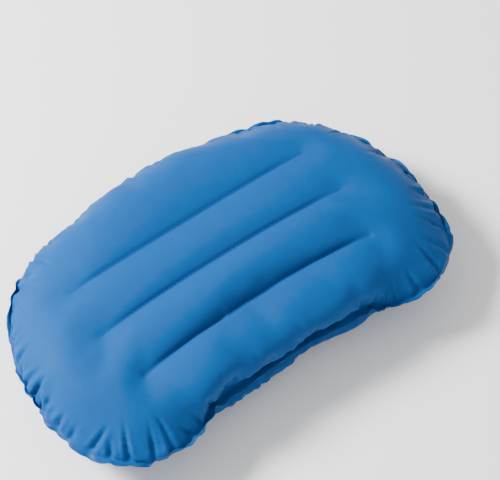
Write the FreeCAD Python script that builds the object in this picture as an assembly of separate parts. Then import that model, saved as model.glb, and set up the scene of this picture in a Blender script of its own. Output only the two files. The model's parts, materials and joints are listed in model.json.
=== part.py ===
"""Inflatable camp pillow: two welded fabric panels held down by three inner baffles, and a push valve.

Frame: millimetres, +X along the length, +Y to the back (the convex side; the concave side holds the
neck), +Z up. The origin is the middle of the base, on the surface the pillow lies on.
"""

import FreeCAD, Part
import math
import os

V = FreeCAD.Vector

# ---- pillow, driving dimensions -------------------------------------------------------------
LENGTH = 460.0              # flange to flange, end to end
HALF_HEIGHT = 50.0          # mid-plane of the weld to the highest tube
FLANGE_WIDTH = 7.0          # welded margin all round
FABRIC = 0.5                # laminated fabric, thickness

# Half outline, clockwise from the middle of the back, as arcs: turn in degrees, radius in mm.
BACK_TURN = 10.2            # radius follows from LENGTH
CORNER_TURN, CORNER_RADIUS = 51.0, 132.4
SIDE_TURN, SIDE_RADIUS = 44.3, 189.9
LOBE_RADIUS = 78.9          # turn follows from the others
NECK_TURN = 14.9            # concave; radius follows from the closure on x = 0

# Baffle seams run along X. The middle one is a little in front of the pillow's centre.
MIDDLE_SEAM_Y = -8.9
SEAM_SPACING = 58.4
SEAM_HALF_LENGTH = 142.0
CREASE_DEPTH = 8.0          # of a seam below the tubes beside it
END_DROP = 6.5              # how much lower the tubes are at the seams' ends
BAFFLE_FILM = 0.4
BAFFLE_TAB = 5.0            # width of the weld tab along a baffle's edges

# How far in from the weld line the tubes reach their full height.
BACK_ROUND, NECK_ROUND, END_ROUND = 40.0, 24.0, 54.0

# ---- valve, driving dimensions --------------------------------------------------------------
VALVE_DIRECTION = 40.0      # where on the outline: direction of its normal, degrees from +X
VALVE_INSET = 12.0          # in from the weld line, in plan
VALVE_TILT = 48.0           # of the axis, outwards from straight down
VALVE_RECESS = 2.5          # the panel is held flat this much inside its free shape
FLAT_RADIUS, BLEND_RADIUS = 28.0, 36.0    # of the poles held flat, well beyond the weld patch

PATCH_RADIUS, PATCH = 15.0, 0.8        # weld patch of the valve base
WELD_GAP = 0.05                        # left between the patch and the panel it is welded to
COLLAR_RADIUS, COLLAR_BORE = 10.8, 9.0
COLLAR_TOP, COLLAR_DEPTH = 5.0, 5.5
HOLE_CLEARANCE = 0.2

BODY_BORE = 7.5
BODY_LIP_RADIUS, BODY_LIP = 10.4, 1.0
SEAT_DEPTH, SEAT_BORE, SEAT = 7.0, 6.0, 1.0
HUB_RADIUS, HUB_TOP, HUB_BOTTOM = 3.6, -3.0, -4.5
SPOKE_WIDTH, SPOKES = 1.6, 3

STEM_RADIUS, STEM_CLEARANCE = 1.5, 0.05
HEAD_RADIUS, HEAD_BOTTOM, HEAD_TOP = 6.0, 2.6, 4.4
SPIGOT_RADIUS, SPIGOT = 2.2, 0.8
DISH_RADIUS, DISH_DEPTH = 14.0, 0.6

SEAL_RADIUS, SEAL, SEAL_GAP = 7.0, 1.2, 0.05
RETAINER_RADIUS, RETAINER = 3.2, 0.6
STEM_END = 0.6

WIRE, SPRING_RADIUS, SPRING_TURNS = 0.5, 2.85, 4.0

CAP_RADIUS, CAP, CAP_GAP = 12.2, 1.2, 0.05
PLUG_RADIUS, PLUG_WALL, PLUG_DEPTH = 7.2, 0.8, 1.5
TAB_WIDTH, TAB_REACH, TAB = 7.0, 15.6, 0.9
STRAP_WIDTH, STRAP = 6.0, 0.8
HINGE_X, HINGE_GAP = 13.9, 0.2
FOLD_RADIUS, FOLD_CLEARANCE = 0.4, 0.05    # bead along the fold of the strap
RING_RADIUS, RING, RING_LIFT = 12.8, 1.2, 0.3


# ---- outline --------------------------------------------------------------------------------
def unit(turned):
    """Outward normal of the outline where it has turned this many degrees."""
    a = math.radians(turned)
    return math.sin(a), math.cos(a)


def half_outline():
    """Arcs of the half outline: centre x, centre y, radius (negative if concave), first and last turn."""
    turns = [0.0, BACK_TURN]
    for turn in (CORNER_TURN, SIDE_TURN):
        turns.append(turns[-1] + turn)
    turns.append(180.0 + NECK_TURN)
    sines = [unit(t)[0] for t in turns]

    # the widest point is on the side arc, where the outline has turned 90 degrees
    to_widest = CORNER_RADIUS * (sines[2] - sines[1]) + SIDE_RADIUS * (1.0 - sines[2])
    back_radius = (LENGTH / 2 - to_widest) / sines[1]
    to_neck = SIDE_RADIUS * (sines[3] - 1.0) + LOBE_RADIUS * (sines[4] - sines[3])
    neck_radius = (LENGTH / 2 + to_neck) / sines[4]

    radii = [back_radius, CORNER_RADIUS, SIDE_RADIUS, LOBE_RADIUS, neck_radius]
    spans = list(zip(turns[:-1], turns[1:])) + [(turns[-1], 180.0)]
    arcs, x, y = [], 0.0, 0.0
    for radius, (first, last) in zip(radii, spans):
        sx, sy = unit(first)
        cx, cy = x - radius * sx, y - radius * sy
        ex, ey = unit(last)
        x, y = cx + radius * ex, cy + radius * ey
        arcs.append((cx, cy, radius, first, last))
    _, lobe_y, lobe_radius, _, _ = arcs[3]
    shift = -(lobe_y - lobe_radius) / 2.0      # the back is at 0 and the lobes' front is below it
    return [(cx, cy + shift, radius, first, last) for cx, cy, radius, first, last in arcs]


ARCS = half_outline()


def outline_point(arc, turned, inset):
    cx, cy, radius, _, _ = arc
    nx, ny = unit(turned)
    return cx + (radius - inset) * nx, cy + (radius - inset) * ny


def edge_y(x, inset, back):
    """Y of the inset outline's back or front edge at this x."""
    for cx, cy, radius, first, last in ARCS:
        ratio = (abs(x) - cx) / (radius - inset)
        if abs(ratio) > 1.0:
            continue
        turned = math.degrees(math.asin(ratio))
        turned = turned if back else 180.0 - turned
        low, high = min(first, last), max(first, last)
        if low - 1e-6 <= turned <= high + 1e-6:
            return cy + (radius - inset) * unit(turned)[1]
    return outline_point(ARCS[2], 90.0, inset)[1]


def inside_distance(x, y, inset):
    """How far the point is inside the inset outline."""
    nearest = LENGTH
    for cx, cy, radius, first, last in ARCS:
        dx, dy = abs(x) - cx, y - cy
        side = 1.0 if radius > 0 else -1.0
        turned = math.degrees(math.atan2(side * dx, side * dy)) % 360.0
        if min(first, last) - 1e-6 <= turned <= max(first, last) + 1e-6:
            nearest = min(nearest, side * ((radius - inset) * side - math.hypot(dx, dy)))
    return max(nearest, 0.0)


def outline_wire(inset, z):
    """The whole outline as one wire of arcs at height z."""
    def place(arc, turned, mirror):
        x, y = outline_point(arc, turned, inset)
        return V(-x if mirror else x, y, z)

    edges = []
    for mirror in (False, True):
        for arc in ARCS[1:4]:
            first, last = arc[3], arc[4]
            points = [place(arc, first + part * (last - first), mirror) for part in (0.0, 0.5, 1.0)]
            edges.append(Part.Arc(*points).toShape())
    for arc, end in ((ARCS[0], ARCS[0][4]), (ARCS[4], ARCS[4][3])):
        middle = 0.0 if arc is ARCS[0] else 180.0
        points = [place(arc, end, True), place(arc, middle, False), place(arc, end, False)]
        edges.append(Part.Arc(*points).toShape())
    return Part.Wire(Part.__sortEdges__(edges))


# ---- inflated shape -------------------------------------------------------------------------
SEAMS_Y = [MIDDLE_SEAM_Y + k * SEAM_SPACING for k in (-1, 0, 1)]


def smooth(low, high, value):
    t = min(max((value - low) / (high - low), 0.0), 1.0)
    return t * t * (3.0 - 2.0 * t)


def rise(x, y):
    """Height of the inflated panel above the weld line's plane."""
    toward_end = smooth(60.0, 190.0, abs(x))
    front = NECK_ROUND + (END_ROUND - NECK_ROUND) * toward_end
    back = BACK_ROUND + (END_ROUND - BACK_ROUND) * toward_end
    rounding = front + (back - front) * smooth(SEAMS_Y[0], SEAMS_Y[2], y)
    near = min(inside_distance(x, y, FLANGE_WIDTH) / rounding, 1.0)
    dome = math.sqrt(1.0 - (1.0 - near) ** 2)
    crown = HALF_HEIGHT - END_DROP * (x / SEAM_HALF_LENGTH) ** 2

    fade = max(1.0 - (abs(x) / (SEAM_HALF_LENGTH + 6.0)) ** 4, 0.0)
    groove = 0.0
    for k, seam_y in enumerate(SEAMS_Y):
        reach = SEAM_SPACING / 2
        if k == 0 and y < seam_y:
            reach = NECK_ROUND
        if k == 2 and y > seam_y:
            reach = BACK_ROUND
        groove += CREASE_DEPTH * fade * max(1.0 - abs(y - seam_y) / reach, 0.0) ** 2
    return crown * dome - groove


# parts of the way from one line to the next: outer tubes crowd at the weld, inner ones at the seams
OUTER_STEPS = (0.0, 0.008, 0.03, 0.07, 0.13, 0.21, 0.32, 0.45, 0.6, 0.75, 0.87, 0.955)
INNER_STEPS = (0.0, 0.045, 0.13, 0.26, 0.42, 0.58, 0.74, 0.87, 0.955)
STATIONS = 48


def grid():
    """Plan positions of the surface's poles: rows along X, and across each row from front to back."""
    half = LENGTH / 2 - FLANGE_WIDTH
    rows = []
    for i in range(STATIONS + 1):
        x = half * math.sin(math.radians(-90.0 + 180.0 * i / STATIONS))
        front, back = edge_y(x, FLANGE_WIDTH, False), edge_y(x, FLANGE_WIDTH, True)
        # beyond the seams' ends the lines keep their share of the width and run together at the tip
        hold = math.copysign(min(abs(x), SEAM_HALF_LENGTH), x)
        hold_front, hold_back = edge_y(hold, FLANGE_WIDTH, False), edge_y(hold, FLANGE_WIDTH, True)
        marks = [front]
        marks += [front + (back - front) * (s - hold_front) / (hold_back - hold_front) for s in SEAMS_Y]
        marks.append(back)
        row = []
        for k, steps in enumerate((OUTER_STEPS, INNER_STEPS, INNER_STEPS)):
            row += [marks[k] + (marks[k + 1] - marks[k]) * s for s in steps]
        row.append(marks[3])
        row += [marks[4] + (marks[3] - marks[4]) * s for s in reversed(OUTER_STEPS)]
        rows.append([(x, y) for y in row])
    return rows


PLAN = grid()


def normal_at(points, i, j):
    a = points[min(i + 1, len(points) - 1)][j] - points[max(i - 1, 0)][j]
    b = points[i][min(j + 1, len(points[0]) - 1)] - points[i][max(j - 1, 0)]
    n = a.cross(b)
    return n.normalize() if n.Length > 1e-9 else V(0, 0, 1)


# ---- valve position -------------------------------------------------------------------------
def valve_frame():
    """Centre on the panel's outside, and the unit axes: up the panel, along the rim, and outwards."""
    for arc in ARCS:
        if arc[3] <= 90.0 - VALVE_DIRECTION <= arc[4]:
            x, y = outline_point(arc, 90.0 - VALVE_DIRECTION, FLANGE_WIDTH + VALVE_INSET)
    flat = V(math.cos(math.radians(VALVE_DIRECTION)), math.sin(math.radians(VALVE_DIRECTION)), 0)
    tilt = math.radians(VALVE_TILT)
    out = flat * math.sin(tilt) + V(0, 0, -math.cos(tilt))
    up = flat * math.cos(tilt) + V(0, 0, math.sin(tilt))
    centre = V(x, y, HALF_HEIGHT - FABRIC - rise(x, y)) - out * VALVE_RECESS
    return centre, up, out.cross(up), out


VALVE, UP, ALONG, OUT = valve_frame()


def hold_flat(point, level=0.0):
    """Move a point of the bottom panel to a level of the valve's frame, where it is near the valve."""
    offset = (point - VALVE).dot(OUT) - level
    across = (point - VALVE - OUT * (offset + level)).Length
    share = 1.0 - smooth(FLAT_RADIUS, BLEND_RADIUS, across)
    return point - OUT * (offset * share)


# ---- panels ---------------------------------------------------------------------------------
def spline_face(points):
    def knots(count):
        inner = count - 4
        return [4] + [1] * inner + [4], [float(k) for k in range(inner + 2)]

    u_mults, u_knots = knots(len(points))
    v_mults, v_knots = knots(len(points[0]))
    surface = Part.BSplineSurface()
    surface.buildFromPolesMultsKnots(points, u_mults, v_mults, u_knots, v_knots, False, False, 3, 3)
    return surface.toShape()


def skin_points(up, with_valve):
    """Outer and inner surface poles of a panel; up is 1 for the top panel and -1 for the bottom one."""
    last_i, last_j = len(PLAN) - 1, len(PLAN[0]) - 1
    share = 1.0 - FABRIC / HALF_HEIGHT
    outer = [[V(x, y, HALF_HEIGHT + up * FABRIC) for x, y in row] for row in PLAN]
    for i in range(1, last_i):
        for j in range(1, last_j):
            point = outer[i][j]
            point.z += up * share * rise(point.x, point.y)
            outer[i][j] = hold_flat(point) if with_valve else point
    inner = []
    for i, row in enumerate(outer):
        line = []
        for j, point in enumerate(row):
            if 0 < i < last_i and 0 < j < last_j:
                normal = normal_at(outer, i, j)
                if normal.z * up < 0:
                    normal = -normal
                point = point - normal * FABRIC
                line.append(hold_flat(point, -FABRIC) if with_valve else point)
            else:
                line.append(None)
        inner.append(line)
    # the inner boundary is one fabric thickness inside the weld line, on the weld plane
    half = LENGTH / 2 - FLANGE_WIDTH
    inset = FLANGE_WIDTH + FABRIC
    for i in range(last_i + 1):
        x = PLAN[i][0][0] * (half - FABRIC) / half
        inner[i][0] = V(x, edge_y(x, inset, False), HALF_HEIGHT)
        inner[i][last_j] = V(x, edge_y(x, inset, True), HALF_HEIGHT)
    for skin in (outer, inner):
        for i in (0, last_i):
            skin[i] = [skin[i][0]] * (last_j + 1)
    return outer, inner


def border(face):
    """The face's two long edges, without the ones that have shrunk to a point."""
    return Part.Wire(Part.__sortEdges__([e for e in face.Edges if e.Length > 1.0]))


def ring_face(outside, inside):
    return Part.makeFace([outside, inside], "Part::FaceMakerBullseye")


def closed_solid(shapes):
    shell = Part.makeShell([face for shape in shapes for face in shape.Faces])
    shell.sewShape()
    solid = Part.makeSolid(shell)
    if solid.Volume < 0:
        solid.reverse()
    return solid


def panel(up, with_valve):
    """A welded panel: domed skin with a flat flange round it. Returns it and its inner skin."""
    outer, inner = skin_points(up, with_valve)
    outer_skin, inner_skin = spline_face(outer), spline_face(inner)
    rim = outline_wire(0.0, HALF_HEIGHT)
    faces = [
        outer_skin,
        ring_face(outline_wire(0.0, HALF_HEIGHT + up * FABRIC), border(outer_skin)),
        rim.extrude(V(0, 0, up * FABRIC)),
        ring_face(rim, border(inner_skin)),
        inner_skin,
    ]
    return closed_solid(faces), inner_skin


# ---- baffles --------------------------------------------------------------------------------
def baffle(cavity, y):
    """An upright strip of film across the cavity, with a weld tab along its top and its bottom."""
    def slab(width):
        size = (2 * SEAM_HALF_LENGTH, width, 2 * HALF_HEIGHT + 2)
        return Part.makeBox(*size, V(-SEAM_HALF_LENGTH, y - width / 2, -1)).common(cavity)

    core = cavity.copy()
    core.translate(V(0, 0, -BAFFLE_FILM))
    raised = cavity.copy()
    raised.translate(V(0, 0, BAFFLE_FILM))
    tabs = slab(BAFFLE_TAB)
    return slab(BAFFLE_FILM).fuse([tabs.cut(core), tabs.cut(raised)]).removeSplitter()


# ---- valve ----------------------------------------------------------------------------------
def disc(radius, low, high, bore=0.0):
    """A disc or ring about the valve's axis, in the valve's own frame."""
    shape = Part.makeCylinder(radius, high - low, V(0, 0, low))
    if bore:
        shape = shape.cut(Part.makeCylinder(bore, high - low + 2, V(0, 0, low - 1)))
    return shape


def block(x_low, x_high, width, z_low, z_high):
    return Part.makeBox(x_high - x_low, width, z_high - z_low, V(x_low, -width / 2, z_low))


def merged(first, *others):
    return first.fuse(list(others)).removeSplitter()


def placed(shape):
    """Take a shape from the valve's frame to the pillow's."""
    turn = FreeCAD.Rotation(UP, ALONG, OUT, "ZXY")
    shape = shape.copy()
    shape.Placement = FreeCAD.Placement(VALVE, turn).multiply(shape.Placement)
    return shape


def valve_base():
    """Soft moulding welded inside the panel, with a collar that stands out through the hole."""
    patch = disc(PATCH_RADIUS, -FABRIC - PATCH, -FABRIC - WELD_GAP, COLLAR_BORE)
    collar = disc(COLLAR_RADIUS, -COLLAR_DEPTH, COLLAR_TOP, COLLAR_BORE)
    return merged(patch, collar)


def valve_body():
    """Hard insert pressed into the collar, with the seal's seat and the stem's guide."""
    tube = disc(COLLAR_BORE, -SEAT_DEPTH, COLLAR_TOP, BODY_BORE)
    lip = disc(BODY_LIP_RADIUS, COLLAR_TOP, COLLAR_TOP + BODY_LIP, BODY_BORE)
    seat = disc(COLLAR_BORE, -SEAT_DEPTH, -SEAT_DEPTH + SEAT, SEAT_BORE)
    guide = disc(HUB_RADIUS, HUB_BOTTOM, HUB_TOP)
    for k in range(SPOKES):
        spoke = block(0.0, BODY_BORE + 0.5, SPOKE_WIDTH, HUB_BOTTOM, HUB_TOP)
        spoke.rotate(V(0, 0, 0), V(0, 0, 1), 60.0 + k * 360.0 / SPOKES)
        guide = guide.fuse(spoke)
    bore = disc(STEM_RADIUS + STEM_CLEARANCE, HUB_BOTTOM - 1, HUB_TOP + 1)
    return merged(tube, lip, seat, guide).cut(bore)


def valve_button():
    """Dished push button on its stem."""
    head = disc(HEAD_RADIUS, HEAD_BOTTOM, HEAD_TOP)
    rim = [e for e in head.Edges if abs(e.CenterOfMass.z - HEAD_TOP) < 1e-6]
    head = head.makeFillet(0.5, rim)
    dish = Part.makeSphere(DISH_RADIUS, V(0, 0, HEAD_TOP - DISH_DEPTH + DISH_RADIUS))
    spigot = disc(SPIGOT_RADIUS, HEAD_BOTTOM - SPIGOT, HEAD_BOTTOM)
    bottom = -SEAT_DEPTH - SEAL_GAP - SEAL - RETAINER - STEM_END
    stem = disc(STEM_RADIUS, bottom, HEAD_BOTTOM)
    return merged(head.cut(dish), spigot, stem)


def valve_seal():
    top = -SEAT_DEPTH - SEAL_GAP
    return disc(SEAL_RADIUS, top - SEAL, top, STEM_RADIUS)


def seal_retainer():
    top = -SEAT_DEPTH - SEAL_GAP - SEAL
    return disc(RETAINER_RADIUS, top - RETAINER, top, STEM_RADIUS)


def valve_spring():
    """Compression spring between the guide and the underside of the button."""
    low, high = HUB_TOP + WIRE / 2, HEAD_BOTTOM - WIRE / 2
    path = Part.makeHelix((high - low) / SPRING_TURNS, high - low, SPRING_RADIUS)
    start = V(SPRING_RADIUS, 0, 0)
    along = V(0, 2 * math.pi * SPRING_RADIUS, (high - low) / SPRING_TURNS)
    quarters = [Part.makeCircle(WIRE / 2, start, along, a, a + 90) for a in (0, 90, 180, 270)]
    section = Part.Wire(quarters)
    coil = Part.Wire(path.Edges).makePipeShell([section], True, True)
    coil.translate(V(0, 0, low))
    return coil


CAP_BOTTOM = COLLAR_TOP + BODY_LIP + CAP_GAP
HINGE_Z = CAP_BOTTOM - 0.6


def fold(radius, margin=0.0):
    """Round bead on the hinge axis, along the fold of the strap."""
    start = V(HINGE_X, -STRAP_WIDTH / 2 - margin, HINGE_Z)
    return Part.makeCylinder(radius, STRAP_WIDTH + 2 * margin, start, V(0, 1, 0))


def cap_ring():
    """Ring round the collar with the fixed half of the cap's strap."""
    ring = disc(RING_RADIUS, RING_LIFT, RING_LIFT + RING, COLLAR_RADIUS)
    foot = block(COLLAR_RADIUS + 0.5, HINGE_X, STRAP_WIDTH, RING_LIFT, RING_LIFT + STRAP)
    riser = block(HINGE_X - STRAP, HINGE_X, STRAP_WIDTH, RING_LIFT, HINGE_Z - HINGE_GAP / 2)
    whole = merged(ring, foot, riser).cut(disc(COLLAR_RADIUS, 0, COLLAR_TOP))
    return whole.cut(fold(FOLD_RADIUS + FOLD_CLEARANCE, 1.0))


def valve_cap():
    """Dust cap: lid, plug ring, finger tab, and the moving half of the strap."""
    lid = disc(CAP_RADIUS, CAP_BOTTOM, CAP_BOTTOM + CAP)
    rim = [e for e in lid.Edges if abs(e.CenterOfMass.z - CAP_BOTTOM - CAP) < 1e-6]
    lid = lid.makeFillet(0.5, rim)
    plug = disc(PLUG_RADIUS, CAP_BOTTOM - PLUG_DEPTH, CAP_BOTTOM, PLUG_RADIUS - PLUG_WALL)
    tab = block(-TAB_REACH, -CAP_RADIUS + 2, TAB_WIDTH, CAP_BOTTOM, CAP_BOTTOM + TAB)
    corners = [e for e in tab.Edges
               if abs(e.CenterOfMass.x + TAB_REACH) < 1e-6 and abs(e.CenterOfMass.y) > TAB_WIDTH / 3]
    tab = tab.makeFillet(2.0, corners)
    arm = block(CAP_RADIUS - 1, HINGE_X, STRAP_WIDTH, CAP_BOTTOM, CAP_BOTTOM + STRAP)
    root = block(HINGE_X - STRAP, HINGE_X, STRAP_WIDTH, HINGE_Z + HINGE_GAP / 2, CAP_BOTTOM)
    return merged(lid, plug, tab, arm, root, fold(FOLD_RADIUS))


# ---- build ----------------------------------------------------------------------------------
def build():
    top, top_skin = panel(1, False)
    bottom, bottom_skin = panel(-1, True)
    cavity = closed_solid([top_skin, bottom_skin])
    hole = placed(disc(COLLAR_RADIUS + HOLE_CLEARANCE, -4, 4))

    parts = {"top_panel": top, "bottom_panel": bottom.cut(hole)}
    for name, y in zip(("baffle_front", "baffle_middle", "baffle_back"), SEAMS_Y):
        parts[name] = baffle(cavity, y)
    for make in (valve_base, valve_body, valve_button, valve_seal, seal_retainer,
                 valve_spring, cap_ring, valve_cap):
        parts[make.__name__] = placed(make())

    # the spline rounds the tubes off by a hair, so the whole pillow is let down onto its ground
    ground = Part.makePlane(2 * LENGTH, 2 * LENGTH, V(-LENGTH, -LENGTH, 0))
    settle = V(0, 0, -bottom.distToShape(ground)[0])
    for shape in parts.values():
        shape.translate(settle)
    return parts, VALVE + settle


def main():
    os.makedirs("parts", exist_ok=True)
    whole = FreeCAD.BoundBox()
    parts, valve = build()
    for name, shape in parts.items():
        solids = shape.Solids
        if len(solids) != 1 or not solids[0].isValid() or not solids[0].isClosed():
            print("CHECK", name, "solids", len(solids), [s.isValid() for s in solids])
        shape = solids[0] if len(solids) == 1 else shape
        shape.exportStep("parts/" + name + ".step")
        whole.add(shape.BoundBox)
        box = shape.BoundBox
        print(f"{name:14s} {box.XLength:7.1f} {box.YLength:7.1f} {box.ZLength:7.1f}  {shape.Volume:10.1f} mm3")
    print("box", whole)
    hinge = valve + UP * HINGE_X + OUT * HINGE_Z
    print("valve", valve, "up", UP, "along", ALONG, "out", OUT, "hinge", hinge)


main()
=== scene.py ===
import json
import math

import bmesh
import bpy
import numpy as np
from mathutils import Matrix, Vector
from mathutils.geometry import delaunay_2d_cdt


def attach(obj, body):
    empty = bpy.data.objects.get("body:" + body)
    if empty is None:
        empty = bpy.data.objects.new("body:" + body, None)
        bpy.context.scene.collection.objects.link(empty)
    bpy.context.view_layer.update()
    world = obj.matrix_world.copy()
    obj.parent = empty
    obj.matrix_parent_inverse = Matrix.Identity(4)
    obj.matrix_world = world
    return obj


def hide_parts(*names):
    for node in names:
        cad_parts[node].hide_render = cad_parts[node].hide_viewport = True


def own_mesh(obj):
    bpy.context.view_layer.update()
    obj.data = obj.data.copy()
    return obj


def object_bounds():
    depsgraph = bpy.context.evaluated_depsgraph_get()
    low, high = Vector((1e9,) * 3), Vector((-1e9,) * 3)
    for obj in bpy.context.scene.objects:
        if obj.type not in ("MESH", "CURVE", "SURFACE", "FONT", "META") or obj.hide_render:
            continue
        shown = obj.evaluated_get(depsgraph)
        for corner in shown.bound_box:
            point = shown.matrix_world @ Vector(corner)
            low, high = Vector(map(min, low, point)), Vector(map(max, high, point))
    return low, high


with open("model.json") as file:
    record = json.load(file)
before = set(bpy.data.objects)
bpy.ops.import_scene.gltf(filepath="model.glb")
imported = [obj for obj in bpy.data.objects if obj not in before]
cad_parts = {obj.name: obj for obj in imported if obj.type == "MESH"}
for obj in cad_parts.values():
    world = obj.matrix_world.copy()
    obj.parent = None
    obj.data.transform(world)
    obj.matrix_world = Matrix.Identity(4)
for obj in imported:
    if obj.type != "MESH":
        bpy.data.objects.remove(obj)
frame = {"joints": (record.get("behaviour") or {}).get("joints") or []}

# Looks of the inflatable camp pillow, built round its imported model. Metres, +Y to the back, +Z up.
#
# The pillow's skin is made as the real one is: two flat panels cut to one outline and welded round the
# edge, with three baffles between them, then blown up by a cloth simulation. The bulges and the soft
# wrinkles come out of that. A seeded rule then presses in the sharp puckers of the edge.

MM = 0.001
cad_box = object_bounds()

# ---- pillow sizes ---------------------------------------------------------------------------
LENGTH = cad_box[1].x - cad_box[0].x
HEIGHT = cad_box[1].z - cad_box[0].z
FLANGE = 7 * MM
FABRIC = 0.4 * MM
SEAM_GROOVE, GROOVE_HALF = 1.3 * MM, 2.6 * MM    # extra depth of the crease over a weld, and half width

# outlines: turn in degrees and radius of each arc of the right half, clockwise from the back
INFLATED = {"half_length": LENGTH / 2, "turns": (10.2, 51.0, 44.3), "neck_turn": 14.9,
            "radii": (132.4 * MM, 189.9 * MM, 78.9 * MM)}
CUT = {"half_length": 250 * MM, "turns": (10.5, 51.0, 44.0), "neck_turn": 12.0,
       "radii": (150 * MM, 225 * MM, 95 * MM)}
CUT_BACK_Y = 175 * MM                        # from the middle seam to the back weld

# seams of the baffles on the flat panel: row from the middle one, half length, height of the baffle
# between the panels, and how far the seam's middle bows to the back
SEAM_SPACING_CUT = 64 * MM
SEAMS = (
    {"name": "baffle_back", "row": 1, "half": 142 * MM, "height": 86 * MM, "bow": 0.0},
    {"name": "baffle_middle", "row": 0, "half": 143.5 * MM, "height": 90 * MM, "bow": 4 * MM},
    {"name": "baffle_front", "row": -1, "half": 137 * MM, "height": 82 * MM, "bow": 8 * MM},
)
BOW_HALF = 0.145                             # half length over which a row of threads bows
PATTERN_FRONT, PATTERN_BACK = -0.17, 0.2     # y at which the rows' bow is that of the front seam, and none
PATTERN_COLUMNS = 80                         # threads each side of the middle, more than the panel needs

# the same seams on the blown-up pillow
SEAM_HALF = 142 * MM
MIDDLE_SEAM_Y = -8.9 * MM
SEAM_SPACING = 58.4 * MM

# ---- valve sizes, along its own axis: x up the panel, z outwards from it ----------------------
VALVE_HOLE = 11.1 * MM
SEAT_FLAT, SEAT_BLEND = 17.5 * MM, 34 * MM   # radii within which the skin is held flat, and free again
PATCH, PATCH_TOP, PATCH_BOTTOM = 15.0 * MM, -0.55 * MM, -1.3 * MM
COLLAR, COLLAR_BORE, COLLAR_TOP, COLLAR_BOTTOM = 10.8 * MM, 9.0 * MM, 5.0 * MM, -5.5 * MM
BORE, LIP, LIP_TOP = 7.5 * MM, 10.4 * MM, 6.0 * MM
SEAT_BORE, SEAT_BOTTOM, SEAT_TOP = 6.0 * MM, -7.0 * MM, -6.0 * MM
HUB, HUB_TOP, HUB_BOTTOM = 3.6 * MM, -3.0 * MM, -4.5 * MM
STEM, GUIDE = 1.5 * MM, 1.55 * MM
HEAD, HEAD_TOP, HEAD_BOTTOM, TRAVEL = 6.0 * MM, 4.4 * MM, 2.6 * MM, 3.0 * MM
CAP, CAP_BOTTOM, CAP_TOP, PLUG, PLUG_BOTTOM = 12.2 * MM, 6.05 * MM, 7.25 * MM, 7.2 * MM, 4.55 * MM
HINGE_X, HINGE_Z, STRAP, STRAP_WIDTH = 13.9 * MM, 5.45 * MM, 0.8 * MM, 6.0 * MM
FOLD = 0.4 * MM                              # radius of the bead in the strap's fold
RING, RING_BOTTOM, RING_TOP = 12.8 * MM, 0.3 * MM, 1.5 * MM
STEM_END, SEAL_TOP, SEAL_BOTTOM, WASHER_BOTTOM = -9.25 * MM, -7.05 * MM, -8.25 * MM, -8.85 * MM

CELL = 4.7 * MM          # spacing of the cloth's threads in the simulation
FRAMES = 40


# ---- valve frame ----------------------------------------------------------------------------
def valve_frame():
    """Matrix from the valve's frame (x up the panel, z outwards) to the pillow's, from its joints."""
    joints = {j["name"]: j for j in frame["joints"]}
    out = -Vector(joints["button_slide"]["axis"]).normalized()
    along = Vector(joints["cap_hinge"]["axis"]).normalized()
    up = along.cross(out).normalized()
    hinge = Vector(joints["cap_hinge"]["pos_m"])
    centre = hinge - up * HINGE_X - out * HINGE_Z
    turn = Matrix((up, out.cross(up), out)).transposed()
    return Matrix.Translation(centre) @ turn.to_4x4()


VALVE_FRAME = valve_frame()


# ---- outlines -------------------------------------------------------------------------------
def bean_outline(half_length, turns, neck_turn, radii, back_y, spacing):
    """Closed outline of equal steps, clockwise seen from above, starting at the middle of the back."""
    corner, side, lobe = radii
    marks = np.radians(np.cumsum((0.0,) + turns).tolist() + [180.0 + neck_turn, 180.0])
    s = np.sin(marks)
    back = (half_length - corner * (s[2] - s[1]) - side * (1 - s[2])) / s[1]
    neck = (half_length + side * (s[3] - 1) + lobe * (s[4] - s[3])) / s[4]
    points, at = [], np.array([0.0, back_y])
    for radius, first, last in zip((back, corner, side, lobe, neck), marks[:-1], marks[1:]):
        a = np.linspace(first, last, 200)
        ring = radius * np.stack([np.sin(a), np.cos(a)], 1)
        points.append((at + ring - ring[0])[:-1])
        at = at + ring[-1] - ring[0]
    half = np.vstack(points + [at[None]])
    whole = np.vstack([half, (half * [-1, 1])[::-1][1:]])
    steps = np.r_[0, np.cumsum(np.linalg.norm(np.diff(whole, axis=0), axis=1))]
    count = round(steps[-1] / spacing)
    t = np.linspace(0, steps[-1], count, endpoint=False)
    return np.stack([np.interp(t, steps, whole[:, k]) for k in (0, 1)], 1)


def outward(loop):
    """Outward normals of a clockwise loop."""
    along = np.roll(loop, -1, 0) - np.roll(loop, 1, 0)
    along /= np.linalg.norm(along, axis=1)[:, None]
    return np.stack([-along[:, 1], along[:, 0]], 1)


def inside(points, loop):
    """Which points lie inside the loop."""
    x, y = points.T
    result = np.zeros(len(points), bool)
    for (x0, y0), (x1, y1) in zip(loop, np.roll(loop, -1, 0)):
        crosses = (y0 > y) != (y1 > y)
        result ^= crosses & (x < (x1 - x0) * (y - y0) / (y1 - y0 + 1e-30) + x0)
    return result


# ---- cutting pattern ------------------------------------------------------------------------
def seam_bow(x, y):
    """How far a lattice row bows to the back between the seams' ends, on the flat panel."""
    rows = [s["row"] * SEAM_SPACING_CUT for s in SEAMS[::-1]]
    bows = [s["bow"] for s in SEAMS[::-1]]
    depth = np.interp(y, [PATTERN_FRONT] + rows + [PATTERN_BACK], [bows[0]] + bows + [0.0])
    return depth * np.clip(1 - (x / BOW_HALF) ** 2, -0.6, 1)


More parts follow.
